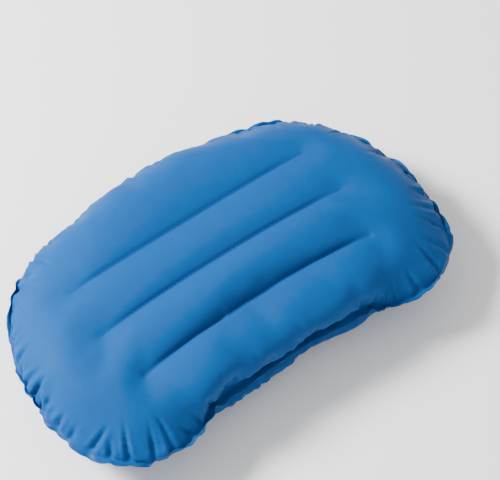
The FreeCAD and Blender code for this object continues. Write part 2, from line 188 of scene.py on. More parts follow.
def cutting_pattern():
    """Flat panel as points, triangles, and the point numbers of the rim and of each seam."""
    rim = bean_outline(**CUT, back_y=CUT_BACK_Y, spacing=CELL)
    rows_between = round(SEAM_SPACING_CUT / (CELL * math.sqrt(3) / 2))
    pitch = SEAM_SPACING_CUT / rows_between
    points, row_of = [], []
    last_row = int(PATTERN_BACK / pitch)
    for k in range(-last_row, last_row + 1):
        x = np.arange(-PATTERN_COLUMNS, PATTERN_COLUMNS + 1) * CELL + (0.5 * CELL if k % 2 else 0)
        y = np.full(len(x), k * pitch)
        points.append(np.stack([x, y + seam_bow(x, y)], 1))
        row_of += [k] * len(x)
    points, row_of = np.vstack(points), np.array(row_of)
    keep = inside(points, rim - outward(rim) * 0.55 * CELL)
    points, row_of = points[keep], row_of[keep]
    gap = np.min(np.linalg.norm(points[:, None] - rim[None], axis=2), axis=1)
    points, row_of = points[gap > 0.62 * CELL], row_of[gap > 0.62 * CELL]

    every = np.vstack([rim, points])
    mesh = delaunay_2d_cdt([Vector(p) for p in every], [], [list(range(len(rim)))], 1, 1e-7)
    triangles = []
    for a, b, c in (tuple(f) for f in mesh[2]):
        (ax, ay), (bx, by), (cx, cy) = every[a], every[b], every[c]
        turn = (bx - ax) * (cy - ay) - (by - ay) * (cx - ax)
        triangles.append((a, b, c) if turn > 0 else (a, c, b))
    seams = []
    for seam in SEAMS:
        on = (row_of == seam["row"] * rows_between) & (np.abs(points[:, 0]) <= seam["half"])
        ids = np.flatnonzero(on)
        seams.append(ids[np.argsort(points[ids, 0])] + len(rim))
    return every, np.array(triangles), rim, seams


# ---- inflation ------------------------------------------------------------------------------
FLANGE_STEPS = 2
SCALLOP = 24 * MM                            # length of one scallop of the flange
SCALLOP_START = 1.2 * MM                     # height of the wave that starts them


def flange_faces(rings):
    """Faces of the flange between its rings, facing up."""
    faces = []
    for inner, outer in zip(rings[:-1], rings[1:]):
        faces += np.stack([inner, np.roll(inner, -1), np.roll(outer, -1), outer], 1).tolist()
    return faces


def inflate(flat, triangles, rim, seams):
    """Blow up the welded panels. Returns the points, the lower panel's numbers and the flange's rings."""
    n, count = len(rim), len(flat)
    random = np.random.default_rng(5)
    lower = np.arange(count)
    lower[n:] += count - n
    lift = (0.5 + 0.6 * random.random(count)) * MM
    lift[:n] = 0
    top = np.c_[flat, lift]
    bottom = np.c_[flat, -lift][n:]

    # a faint wave along the flange starts its scallops at a regular spacing
    turns = 2 * np.pi * np.arange(n) / n
    waves = round(n * np.linalg.norm(rim[1] - rim[0]) / SCALLOP)
    wave = SCALLOP_START * np.sin(waves * turns + 0.8 * np.sin(5 * turns))
    rings, points = [np.arange(n)], [top, bottom]
    total = 2 * count - n
    for k in range(1, FLANGE_STEPS + 1):
        ring = rim + outward(rim) * FLANGE * k / FLANGE_STEPS
        points.append(np.c_[ring, wave * k / FLANGE_STEPS])
        rings.append(total + np.arange(n))
        total += n

    # a tie as long as the baffle is high joins each pair of seam points, its middle laid aside at first
    edges = []
    for seam, ids in zip(SEAMS, seams):
        reach = flat[ids, 0] / seam["half"]
        height = seam["height"] * (1 - 0.12 * reach ** 4)
        points.append(np.c_[flat[ids, 0], flat[ids, 1] + height / 2, np.zeros(len(ids))])
        middles = (total + np.arange(len(ids))).tolist()
        total += len(ids)
        edges += list(zip(ids.tolist(), middles)) + list(zip(middles, lower[ids].tolist()))
    points = np.vstack(points)

    faces = triangles.tolist() + lower[triangles][:, ::-1].tolist() + flange_faces(rings)
    mesh = bpy.data.meshes.new("cloth")
    mesh.from_pydata(points.tolist(), edges, faces)
    cloth = bpy.data.objects.new("cloth", mesh)
    bpy.context.scene.collection.objects.link(cloth)
    blown = cloth.vertex_groups.new(name="blown")
    blown.add(list(range(2 * count - n)), 1.0, "ADD")
    stiff = cloth.vertex_groups.new(name="stiff")
    stiff.add(np.concatenate(rings).tolist(), 1.0, "ADD")

    modifier = cloth.modifiers.new("inflate", "CLOTH")
    settings = modifier.settings
    for name, value in {
        "quality": 6, "mass": 0.05, "air_damping": 5.0,
        "tension_stiffness": 400, "compression_stiffness": 5, "shear_stiffness": 50,
        "bending_stiffness": 0.05, "bending_stiffness_max": 0.5, "vertex_group_bending": "stiff",
        "tension_damping": 5, "compression_damping": 5, "shear_damping": 5, "bending_damping": 0.5,
        "use_pressure": True, "uniform_pressure_force": 30, "vertex_group_pressure": "blown",
    }.items():
        setattr(settings, name, value)
    settings.effector_weights.gravity = 0.0
    modifier.collision_settings.use_collision = False
    modifier.point_cache.frame_start, modifier.point_cache.frame_end = 1, FRAMES
    for number in range(1, FRAMES + 1):
        bpy.context.scene.frame_set(number)
    evaluated = cloth.evaluated_get(bpy.context.evaluated_depsgraph_get())
    result = np.zeros(len(points) * 3)
    evaluated.data.vertices.foreach_get("co", result)
    result = result.reshape(-1, 3)
    bpy.context.scene.frame_set(1)
    bpy.data.objects.remove(cloth)
    bpy.data.meshes.remove(mesh)
    return result, lower, rings


# ---- fit to the frame -----------------------------------------------------------------------
def smooth_loop(loop, reach):
    """The loop with ripples shorter than reach taken out."""
    step = np.mean(np.linalg.norm(np.roll(loop, -1, 0) - loop, axis=1))
    half = int(3 * reach / step)
    weights = np.exp(-0.5 * (np.arange(-half, half + 1) * step / reach) ** 2)
    weights /= weights.sum()
    return sum(w * np.roll(loop, k, 0) for w, k in zip(weights, range(-half, half + 1)))


def radius_at(loop, angles):
    """Distance from the origin to the loop at each angle."""
    a = np.arctan2(loop[:, 1], loop[:, 0])
    order = np.argsort(a)
    r = np.linalg.norm(loop, axis=1)
    return np.interp(angles, a[order], r[order], period=2 * np.pi)


def spline_warp(sources, targets):
    """Thin-plate spline that takes the source points to the targets, as a function of points."""
    def kernel(a, b):
        d = np.linalg.norm(a[:, None] - b[None], axis=2)
        return d ** 2 * np.log(d + 1e-12)

    n = len(sources)
    system = np.zeros((n + 3, n + 3))
    system[:n, :n] = kernel(sources, sources) + 1e-6 * np.eye(n)
    system[:n, n:] = np.c_[np.ones(n), sources]
    system[n:, :n] = system[:n, n:].T
    weights = np.linalg.solve(system, np.vstack([targets - sources, np.zeros((3, 2))]))

    def moved(points):
        return points + np.hstack([kernel(points, sources), np.ones((len(points), 1)), points]) @ weights
    return moved


def fit_to_frame(points, rings, seams):
    """Settle the blown-up pillow on the CAD outline, seams and height."""
    points = points.copy()
    seam_y = [MIDDLE_SEAM_Y + s["row"] * SEAM_SPACING for s in SEAMS]
    points[:, 1] += np.mean(seam_y) - np.mean([points[ids, 1].mean() for ids in seams])
    points[:, 2] -= points[rings[-1], 2].mean()
    edge = smooth_loop(points[rings[-1], :2], 18 * MM)
    target = bean_outline(**INFLATED, back_y=cad_box[1].y, spacing=4 * MM)
    angles = np.arctan2(edge[:, 1], edge[:, 0])
    wanted = edge * (radius_at(target, angles) / np.linalg.norm(edge, axis=1))[:, None]
    every = max(1, len(edge) // 90)
    sources, targets = [edge[::every]], [wanted[::every]]
    for seam, ids, y in zip(SEAMS, seams, seam_y):
        pick = ids[np.linspace(0, len(ids) - 1, 9).astype(int)]
        at = points[pick, :2]
        share = at[:, 0] / np.abs(at[:, 0]).max()
        goal = np.stack([share * seam["half"] * 0.99, y + seam["bow"] * (1 - share ** 2)], 1)
        sources.append(at)
        targets.append(goal)
    warp = spline_warp(np.vstack(sources), np.vstack(targets))
    points[:, :2] = warp(points[:, :2])
    points[:, 2] *= (HEIGHT - 2 * FABRIC) / (points[:, 2].max() - points[:, 2].min())
    points[:, 2] += FABRIC - points[:, 2].min()
    return points


# ---- small helpers --------------------------------------------------------------------------
def new_object(name, mesh):
    """Object with smooth shading, at the origin."""
    piece = bpy.data.objects.new(name, mesh)
    bpy.context.scene.collection.objects.link(piece)
    for polygon in mesh.polygons:
        polygon.use_smooth = True
    return piece


def finished(piece):
    """Apply every modifier and return the piece."""
    graph = bpy.context.evaluated_depsgraph_get()
    mesh = bpy.data.meshes.new_from_object(piece.evaluated_get(graph), depsgraph=graph)
    piece.modifiers.clear()
    piece.data = mesh
    return piece


def smooth_step(low, high, value):
    """0 below low, 1 above high, and an even curve between."""
    t = np.clip((value - low) / (high - low), 0, 1)
    return t * t * (3 - 2 * t)


# ---- skin -----------------------------------------------------------------------------------
def vertex_normals(points, faces):
    """Normals of the points, from the first corner of each face round them."""
    normals = np.zeros_like(points)
    for face in faces:
        a, b, c = points[face[0]], points[face[1]], points[face[2]]
        normals[list(face)] += np.cross(b - a, c - a)
    return normals / (np.linalg.norm(normals, axis=1)[:, None] + 1e-12)


def seat_for_valve(points):
    """Hold the skin flat on the valve's plane. Returns it and each point's distance from the valve."""
    to_valve = np.array(VALVE_FRAME.inverted())
    local = points @ to_valve[:3, :3].T + to_valve[:3, 3]
    across = np.hypot(local[:, 0], local[:, 1])
    close = np.abs(local[:, 2]) < 25 * MM
    local[:, 2] *= 1 - close * (1 - smooth_step(SEAT_FLAT, SEAT_BLEND, across))
    back = np.array(VALVE_FRAME)
    return local @ back[:3, :3].T + back[:3, 3], np.where(close, across, 1.0)


def even_out(points, triangles, fixed):
    """Relax the lumps that the cloth's threads leave, away from the fixed points."""
    pairs = np.vstack([triangles[:, [0, 1]], triangles[:, [1, 2]], triangles[:, [2, 0]]])
    pairs = np.vstack([pairs, pairs[:, ::-1]])
    shares = np.bincount(pairs[:, 0], minlength=len(points))
    moving = (shares > 0) & ~fixed
    for _ in range(8):
        sums = [np.bincount(pairs[:, 0], points[pairs[:, 1], k], len(points)) for k in range(3)]
        near = np.stack(sums, 1)
        points[moving] += 0.5 * (near[moving] / shares[moving, None] - points[moving])


def rim_place(flat, rim):
    """For points of the flat panel: place along the rim, distance in from it, and the way out."""
    step = np.linalg.norm(rim[1] - rim[0])
    nearest = np.argmin(((flat[:, None] - rim[None]) ** 2).sum(2), axis=1)
    out = outward(rim)[nearest]
    gap = flat - rim[nearest]
    along = np.stack([out[:, 1], -out[:, 0]], 1)
    return nearest * step + (gap * along).sum(1), -(gap * out).sum(1), out


def pucker_lines(rim):
    """Creases across the edge: (place on the rim, first and last distance in, depth, half width, slant)."""
    random = np.random.default_rng(11)
    step = np.linalg.norm(rim[1] - rim[0])
    # all round: short and shallow at the middle, long and deep at the two ends
    lines, at = [], 0.0
    while at < step * len(rim):
        x = rim[int(at / step)][0]
        end = smooth_step(95 * MM, 160 * MM, abs(x))
        depth = (0.25 + end * random.uniform(1.0, 3.6)) * MM
        last = (12 + end * random.uniform(12, 46)) * MM
        lines.append((at, 0.0, last, depth, random.uniform(2.2, 3.2) * MM, random.uniform(-0.3, 0.3)))
        spacing = (20 if x < 0 else 26) * MM
        at += spacing * random.uniform(0.7, 1.35)
    # a row of fine ones at the neck, where the panel bunches up, and a few opposite it at the back
    front = np.flatnonzero(rim[:, 1] < 0)
    back = np.flatnonzero(rim[:, 1] > 0)
    width = 2.4 * MM
    for x in np.arange(-62, 34, 10) * MM:
        at = front[np.argmin(np.abs(rim[front, 0] - x))] * step + random.uniform(-3, 3) * MM
        last, depth = random.uniform(38, 58) * MM, random.uniform(1.0, 1.9) * MM
        lines.append((at, 6 * MM, last, depth, width, 0.12))
    for x in np.array([-16, -5, 20, 30]) * MM:
        at = back[np.argmin(np.abs(rim[back, 0] - x))] * step
        last, depth = random.uniform(40, 52) * MM, random.uniform(0.7, 1.2) * MM
        lines.append((at, 10 * MM, last, depth, width, -0.1))
    return lines


def layer_values(data, key, width=1):
    """Values of a mesh layer as an array, a row for each point."""
    values = np.zeros(len(data) * width)
    data.foreach_get(key, values)
    return values.reshape(-1, width).squeeze()


def press_puckers(mesh, rim):
    """Press the creases into a refined skin, and pull its flange in where they meet it."""
    co = layer_values(mesh.vertices, "co", 3)
    normals = layer_values(mesh.vertex_normals, "vector", 3)
    cut = layer_values(mesh.attributes["cut_at"].data, "vector", 3)
    flange, valve_gap, seam_gap = [layer_values(mesh.attributes[name].data, "value")
                                   for name in ("flange", "valve_gap", "seam_gap")]
    place, depth_in, out = rim_place(cut[:, :2], rim)
    free = smooth_step(SEAT_FLAT, SEAT_BLEND, valve_gap)
    ends = 1 - smooth_step(0.72 * SEAM_HALF, SEAM_HALF, np.abs(cut[:, 0]))
    co -= normals * (SEAM_GROOVE * free * ends * np.exp(-(seam_gap / GROOVE_HALF) ** 2))[:, None]
    whole = np.linalg.norm(rim[1] - rim[0]) * len(rim)
    side = 1
    for at, first, last, depth, width, slant in pucker_lines(rim):
        across = (place - at - slant * np.maximum(depth_in, 0) + whole / 2) % whole - whole / 2
        shoulders = np.exp(-((np.abs(across) - 2.3 * width) / width) ** 2)
        valley = np.exp(-(across / width) ** 2) - 0.3 * shoulders
        run = smooth_step(first, first + 7 * MM, depth_in) * (1 - smooth_step(0.3 * last, last, depth_in))
        co -= normals * (depth * valley * run * free)[:, None]
        if first == 0.0:
            near_edge = 1 - smooth_step(0, 14 * MM, depth_in)
            pull = 0.6 * depth * np.exp(-(across / (1.5 * width)) ** 2) * near_edge
            co[:, :2] -= out * pull[:, None]
            co[:, 2] += side * 0.7 * depth * np.exp(-(across / (2.2 * width)) ** 2) * flange
            side = -side
    mesh.vertices.foreach_set("co", co.ravel())
    mesh.update()


def seam_distance(flat):
    """Distance on the flat panel to the nearest baffle seam."""
    gaps = []
    for seam in SEAMS:
        x = np.clip(flat[:, 0], -seam["half"], seam["half"])
        y = seam["row"] * SEAM_SPACING_CUT
        y = y + seam_bow(x, np.full(len(x), y))
        gaps.append(np.hypot(flat[:, 0] - x, flat[:, 1] - y))
    return np.min(gaps, axis=0)


SEAM_CREASE, CREASE_FADE = 0.75, 4           # sharpness over a baffle, and threads over which it fades
WELD_CREASE = 0.35


def keep_creases(mesh, seams, weld):
    """Let the creases over the baffles and the weld line keep their edge when the skin is refined."""
    sharp = {}
    for chain in seams:
        for k, pair in enumerate(zip(chain[:-1], chain[1:])):
            from_end = min(k, len(chain) - 2 - k)
            sharp[frozenset(pair)] = SEAM_CREASE * min(1.0, from_end / CREASE_FADE)
    for pair in zip(weld, weld[1:] + weld[:1]):
        sharp[frozenset(pair)] = WELD_CREASE
    crease = mesh.attributes.new("crease_edge", "FLOAT", "EDGE")
    crease.data.foreach_set("value", [sharp.get(frozenset(e.vertices), 0.0) for e in mesh.edges])


def skin(name, points, flat, faces, rings, rim, seams, finish, valve=False):
    """One welded panel with its half of the flange, as a thin closed shell."""
    used = np.unique(np.concatenate(faces))
    number = np.zeros(len(points), int)
    number[used] = np.arange(len(used))
    faces = [number[face].tolist() for face in faces]
    co, cut = points[used], flat[used]
    flange = np.zeros(len(points))
    for k, ring in enumerate(rings):
        flange[ring] = k / FLANGE_STEPS
    co = co + vertex_normals(co, faces) * FABRIC
    valve_gap = np.ones(len(co))
    if valve:
        co, valve_gap = seat_for_valve(co)
        faces = [face for face in faces if min(valve_gap[face]) > 0.93 * VALVE_HOLE]
    mesh = bpy.data.meshes.new(name)
    mesh.from_pydata(co.tolist(), [], faces)
    layer = mesh.uv_layers.new(name="cut")
    corners = np.array([corner.vertex_index for corner in mesh.loops])
    layer.data.foreach_set("uv", cut[corners].astype(np.float32).ravel())
    cut_at = mesh.attributes.new("cut_at", "FLOAT_VECTOR", "POINT")
    cut_at.data.foreach_set("vector", np.c_[cut, np.zeros(len(cut))].astype(np.float32).ravel())
    measures = {"flange": flange[used], "seam_gap": seam_distance(cut), "valve_gap": valve_gap}
    for label, values in measures.items():
        measure = mesh.attributes.new(label, "FLOAT", "POINT")
        measure.data.foreach_set("value", np.asarray(values, np.float32))
    keep_creases(mesh, [number[ids].tolist() for ids in seams], number[rings[0]].tolist())

    piece = new_object(name, mesh)
    if valve:
        cut_hole(mesh, VALVE_HOLE)
    refine = piece.modifiers.new("refine", "SUBSURF")
    refine.levels = refine.render_levels = 1
    finished(piece)
    press_puckers(piece.data, rim)
    wall = piece.modifiers.new("wall", "SOLIDIFY")
    wall.thickness, wall.offset = FABRIC, -1
    finished(piece)
    piece.data.materials.clear()
    piece.data.materials.append(finish)
    return piece


def cut_hole(mesh, radius):
    """Round off the valve hole: its ragged edge is drawn onto a circle on the valve's plane."""
    work = bmesh.new()
    work.from_mesh(mesh)
    inverse = VALVE_FRAME.inverted()
    loose = [v for v in work.verts if not v.link_faces]
    bmesh.ops.delete(work, geom=loose, context="VERTS")
    for vert in work.verts:
        at = inverse @ vert.co
        across = math.hypot(at.x, at.y)
        if vert.is_boundary and across < 2 * radius and abs(at.z) < 2 * MM:
            vert.co = VALVE_FRAME @ Vector((at.x * radius / across, at.y * radius / across, 0))
    work.to_mesh(mesh)
    work.free()


def baffle(name, points, top_ids, bottom_ids):
    """Upright strip of film between the panels, slightly bowed in the middle."""
    inset = np.array([0, 0, 2 * FABRIC + SEAM_GROOVE])
    top, bottom = points[top_ids] - inset, points[bottom_ids] + inset
    steps, bow = 4, 0.6 * MM
    rows = [top + (bottom - top) * t for t in np.linspace(0, 1, steps + 1)]
    for k, row in enumerate(rows):
        row[:, 1] += bow * math.sin(math.pi * k / steps)
    count = len(top_ids)
    faces = [[r * count + i, r * count + i + 1, (r + 1) * count + i + 1, (r + 1) * count + i]
             for r in range(steps) for i in range(count - 1)]
    mesh = bpy.data.meshes.new(name)
    mesh.from_pydata(np.vstack(rows).tolist(), [], faces)
    piece = new_object(name, mesh)
    wall = piece.modifiers.new("wall", "SOLIDIFY")
    wall.thickness, wall.offset = FABRIC, 0
    piece.data.materials.append(MATERIALS["film"])
    finished(piece)
    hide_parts(name.replace("_film", ""))
    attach(piece, "pillow")


# ---- materials ------------------------------------------------------------------------------
def colour(hexadecimal):
    """Linear colour of an sRGB hex value."""
    parts = [int(hexadecimal[k:k + 2], 16) / 255 for k in (1, 3, 5)]
    return [c / 12.92 if c <= 0.04045 else ((c + 0.055) / 1.055) ** 2.4 for c in parts] + [1.0]


def add(tree, kind, settings=None, links=None):
    """Add a node; settings go to its properties or its sockets by name, links to its sockets."""
    node = tree.nodes.new(kind)
    for key, value in (settings or {}).items():
        if isinstance(key, str) and hasattr(node, key):
            setattr(node, key, value)
        else:
            node.inputs[key].default_value = value
    for key, socket in (links or {}).items():
        tree.links.new(socket, node.inputs[key])
    return node


def material(name, base, roughness, **sockets):
    """A new material with its shader's constants set, with its tree and its shader."""
    made = bpy.data.materials.new(name)
    made.use_nodes = True
    tree = made.node_tree
    shader = tree.nodes["Principled BSDF"]
    shader.inputs["Base Color"].default_value = colour(base)
    shader.inputs["Roughness"].default_value = roughness
    for key, value in sockets.items():
        shader.inputs[key.replace("_", " ")].default_value = value
    return made, tree, shader


def brushed_polyester(name, base, deep):
    """Soft-touch polyester laminated to TPU: brushed face, matte, with a pale bloom at grazing angles."""
    brushed, pressed_flat = 0.66, 0.5        # roughness of the face, and of the welded flange
    made, tree, shader = material(name, base, brushed, IOR=1.46, Specular_IOR_Level=0.15,
                                  Sheen_Weight=0.06, Sheen_Roughness=0.4, Sheen_Tint=colour("#c9d6f2"))
    cut = add(tree, "ShaderNodeUVMap", {"uv_map": "cut"}).outputs["UV"]

    # the nap: short fibres brushed along the length, drawn 0.9 mm long, twice the real ones, to show
    fibre = (1 / (0.9 * MM), 1 / (0.45 * MM), 1)
    nap_at = add(tree, "ShaderNodeMapping", {"Scale": fibre}, {"Vector": cut})
    nap = add(tree, "ShaderNodeTexNoise", {"Scale": 1.0, "Detail": 3.0, "Roughness": 0.6},
              {"Vector": nap_at.outputs[0]})
    # patches 6 to 20 mm across where the nap lies differently
    patch = add(tree, "ShaderNodeTexNoise", {"Scale": 1 / (14 * MM), "Detail": 3.0, "Roughness": 0.55},
                {"Vector": cut})
    part = add(tree, "ShaderNodeMath", {"operation": "MULTIPLY", 1: 0.3}, {0: patch.outputs["Fac"]})
    mixed = add(tree, "ShaderNodeMath", {"operation": "MULTIPLY_ADD", 1: 0.7},
                {0: nap.outputs["Fac"], 2: part.outputs[0]})
    ramp = add(tree, "ShaderNodeValToRGB", {}, {"Fac": mixed.outputs[0]})
    ramp.color_ramp.elements[0].position, ramp.color_ramp.elements[1].position = 0.3, 0.7
    ramp.color_ramp.elements[0].color = colour(deep)
    ramp.color_ramp.elements[1].color = colour(base)

    # welded stretches of the flange are pressed smooth and a shade darker
    flange = add(tree, "ShaderNodeAttribute", {"attribute_name": "flange"}).outputs["Fac"]
    line = add(tree, "ShaderNodeMapRange", {"From Min": 0.02, "From Max": 0.12}, {"Value": flange})
    pressed = add(tree, "ShaderNodeMixRGB", {"blend_type": "MULTIPLY", "Color2": (0.82, 0.86, 0.9, 1)},
                  {"Fac": line.outputs[0], "Color1": ramp.outputs["Color"]})
    # the baffles are welded on from inside: a line about 3 mm wide over each seam is darkened, partly as
    # the weld and partly as painted shade in the crease
    seam = add(tree, "ShaderNodeAttribute", {"attribute_name": "seam_gap"}).outputs["Fac"]
    weld = add(tree, "ShaderNodeMapRange",
               {"From Min": 1.2 * MM, "From Max": 2.4 * MM, "To Min": 1.0, "To Max": 0.0}, {"Value": seam})
    # painted shade: this darkening along the seam also stands for the shade in the crease over it
    weld_and_crease_shade = add(tree, "ShaderNodeMixRGB", {"blend_type": "MULTIPLY", "Color2": (0.72, 0.78, 0.84, 1)},
                  {"Fac": weld.outputs[0], "Color1": pressed.outputs[0]})
    # so is the valve's patch: a ring of flattened nap round the collar
    gap = add(tree, "ShaderNodeAttribute", {"attribute_name": "valve_gap"}).outputs["Fac"]
    ring_in = add(tree, "ShaderNodeMapRange", {"From Min": 11.6 * MM, "From Max": 12.0 * MM},
                  {"Value": gap})
    ring_out = add(tree, "ShaderNodeMapRange",
                   {"From Min": PATCH - 0.6 * MM, "From Max": PATCH, "To Min": 1.0, "To Max": 0.0},
                   {"Value": gap})
    ring = add(tree, "ShaderNodeMath", {"operation": "MULTIPLY"},
               {0: ring_in.outputs[0], 1: ring_out.outputs[0]})
    printed = add(tree, "ShaderNodeMixRGB", {"blend_type": "MULTIPLY", "Color2": (0.7, 0.76, 0.84, 1)},
                  {"Fac": ring.outputs[0], "Color1": weld_and_crease_shade.outputs[0]})
    tree.links.new(printed.outputs[0], shader.inputs["Base Color"])
    rough = add(tree, "ShaderNodeMapRange", {"To Min": brushed, "To Max": pressed_flat},
                {"Value": line.outputs[0]})
    tree.links.new(rough.outputs[0], shader.inputs["Roughness"])

    # ribs of the weave under the nap, drawn 0.6 mm apart, twice the real ones
    weave = add(tree, "ShaderNodeTexWave", {"Scale": 1 / (0.6 * MM) / 20, "Distortion": 0.4},
                {"Vector": cut})
    height = add(tree, "ShaderNodeMath", {"operation": "MULTIPLY_ADD", 1: 0.25},
                 {0: weave.outputs["Fac"], 2: nap.outputs["Fac"]})
    bump = add(tree, "ShaderNodeBump", {"Strength": 0.25, "Distance": 0.15 * MM},
               {"Height": height.outputs[0]})
    tree.links.new(bump.outputs[0], shader.inputs["Normal"])
    return made


def moulded(name, base, roughness, grain, **sockets):
    """Moulded plastic or rubber, rolled film or drawn wire: a fine grain, a little uneven in gloss."""
    made, tree, shader = material(name, base, roughness, **sockets)
    place = add(tree, "ShaderNodeTexCoord").outputs["Object"]
    grit = add(tree, "ShaderNodeTexNoise", {"Scale": 1 / grain, "Detail": 2.0}, {"Vector": place})
    cloud = add(tree, "ShaderNodeTexNoise", {"Scale": 1 / (6 * MM), "Detail": 2.0}, {"Vector": place})
    rough = add(tree, "ShaderNodeMapRange", {"To Min": roughness - 0.07, "To Max": roughness + 0.07},
                {"Value": cloud.outputs["Fac"]})
    tree.links.new(rough.outputs[0], shader.inputs["Roughness"])
    dark = [c * 0.8 for c in colour(base)[:3]] + [1]
    tint = add(tree, "ShaderNodeMixRGB", {"Color1": dark, "Color2": colour(base)},
               {"Fac": cloud.outputs["Fac"]})
    tree.links.new(tint.outputs[0], shader.inputs["Base Color"])
    bump = add(tree, "ShaderNodeBump", {"Strength": 0.3, "Distance": 0.03 * MM},
               {"Height": grit.outputs["Fac"]})
    tree.links.new(bump.outputs[0], shader.inputs["Normal"])
    return made


MATERIALS = {
    "face": brushed_polyester("brushed_polyester_face", "#004d8c", "#00437e"),
    "base": brushed_polyester("brushed_polyester_base", "#004886", "#003e78"),
    "film": moulded("tpu_film", "#8fa6bd", 0.35, 0.8 * MM, IOR=1.5),
    "tpu": moulded("moulded_tpu_navy", "#16355f", 0.42, 0.25 * MM, IOR=1.5),
    "abs": moulded("moulded_abs_black", "#15171a", 0.38, 0.2 * MM, IOR=1.53),
    "button": moulded("moulded_abs_grey", "#8b9096", 0.4, 0.2 * MM, IOR=1.53),
    "silicone": moulded("silicone_clear_grey", "#c3c8cb", 0.5, 0.4 * MM, IOR=1.41),
    "steel": moulded("drawn_stainless_wire", "#b9bcc0", 0.28, 0.15 * MM, Metallic=1.0),
}


# ---- build the pillow -----------------------------------------------------------------------
def build_pillow():
    """Cut, blow up and settle the pillow, then make its skins and baffles."""
    flat, triangles, rim, seams = cutting_pattern()
    points, lower, rings = inflate(flat, triangles, rim, seams)
    pattern = np.zeros((len(points), 2))
    pattern[:len(flat)] = flat
    pattern[lower] = flat
    for k, ring in enumerate(rings):
        pattern[ring] = rim + outward(rim) * FLANGE * k / FLANGE_STEPS

    _, depth_in, _ = rim_place(pattern, rim)
    fixed = (depth_in < 22 * MM) | (seam_distance(pattern) < 0.5 * CELL)
    even_out(points, np.vstack([triangles, lower[triangles]]), fixed)
    points = fit_to_frame(points, rings, seams)

    flange = flange_faces(rings)
    top_faces = triangles.tolist() + flange
    bottom_faces = lower[triangles][:, ::-1].tolist() + [face[::-1] for face in flange]
    top = skin("top_skin", points, pattern, top_faces, rings, rim, seams, MATERIALS["face"])
    bottom = skin("bottom_skin", points, pattern, bottom_faces, rings, rim, [lower[s] for s in seams],
                  MATERIALS["base"], valve=True)
    for piece, node, slot in ((top, "top_panel", "face_fabric"), (bottom, "bottom_panel", "base_fabric")):
        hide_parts(node)
        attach(piece, "pillow")
    for seam, ids in zip(SEAMS, seams):
        baffle(seam["name"] + "_film", points, ids, lower[ids])


build_pillow()


# ---- build the valve ------------------------------------------------------------------------
def lathe(work, profile, steps=96):
    """Turn a closed profile of (radius, height) points round the z axis."""
    rings = []
    for radius, height in profile:
        angles = [2 * math.pi * k / steps for k in range(steps)] if radius else [0.0]
        rings.append([work.verts.new((radius * math.cos(a), radius * math.sin(a), height)) for a in angles])
    for first, second in zip(rings, rings[1:] + rings[:1]):
        for k in range(steps if max(len(first), len(second)) > 1 else 0):
            corners = [first[k % len(first)], first[(k + 1) % len(first)],
                       second[(k + 1) % len(second)], second[k % len(second)]]
            work.faces.new(list(dict.fromkeys(corners)))


def block(work, low, high, turn=0.0):
    """Box between two corners, turned about the z axis."""
    size = Vector(high) - Vector(low)
    place = Matrix.Rotation(turn, 4, "Z") @ Matrix.Translation((Vector(low) + Vector(high)) / 2)
    bmesh.ops.create_cube(work, size=1.0, matrix=place @ Matrix.Diagonal((*size, 1.0)))


def rod(work, centre, radius, width, steps=24):
    """Cylinder of that width along the y axis."""
    place = Matrix.Translation(centre) @ Matrix.Rotation(math.pi / 2, 4, "X")
    bmesh.ops.create_cone(work, cap_ends=True, segments=steps, radius1=radius, radius2=radius, depth=width,
                          matrix=place)


def moulding(name, node, body, slot, finish, shape, edge):
    """Piece of the valve from a function that fills a mesh in the valve's frame, its edges rounded."""
    work = bmesh.new()
    shape(work)
    bmesh.ops.recalc_face_normals(work, faces=work.faces)
    work.transform(VALVE_FRAME)
    mesh = bpy.data.meshes.new(name)
    work.to_mesh(mesh)
    work.free()
    piece = new_object(name, mesh)
    bevel = piece.modifiers.new("edges", "BEVEL")
    bevel.width, bevel.segments, bevel.limit_method = edge, 3, "ANGLE"
    bevel.angle_limit = math.radians(35)
    finished(piece)
    piece.data.materials.append(MATERIALS[finish])
    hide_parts(node)
    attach(piece, body)


def base_shape(work):
    """Weld patch, and a collar with two grip grooves above the strap's ring."""
    groove, flat = 0.25 * MM, 0.55 * MM
    wall = [(COLLAR, PATCH_TOP)]
    for low in (2.2 * MM, 3.4 * MM):
        wall += [(COLLAR, low), (COLLAR - groove, low + groove), (COLLAR - groove, low + flat),
                 (COLLAR, low + flat + groove)]
    lathe(work, [(COLLAR_BORE, COLLAR_BOTTOM), (COLLAR, COLLAR_BOTTOM), (COLLAR, PATCH_BOTTOM),
                 (PATCH, PATCH_BOTTOM), (PATCH, PATCH_TOP)]
          + wall + [(COLLAR, COLLAR_TOP), (COLLAR_BORE, COLLAR_TOP)])


def body_shape(work):
    """Tube with a lip and an inner seat, and a three-armed guide for the stem."""
    lathe(work, [(SEAT_BORE, SEAT_BOTTOM), (COLLAR_BORE, SEAT_BOTTOM), (COLLAR_BORE, COLLAR_TOP),
                 (LIP, COLLAR_TOP), (LIP, LIP_TOP), (BORE + 0.5 * MM, LIP_TOP), (BORE, LIP_TOP - 0.5 * MM),
                 (BORE, SEAT_TOP), (SEAT_BORE, SEAT_TOP)])
    lathe(work, [(GUIDE, HUB_BOTTOM), (HUB, HUB_BOTTOM), (HUB, HUB_TOP), (GUIDE, HUB_TOP)], 48)
    for k in range(3):
        block(work, (HUB - 0.4 * MM, -0.8 * MM, HUB_BOTTOM), (BORE + 0.5 * MM, 0.8 * MM, HUB_TOP),
              math.radians(60 + 120 * k))


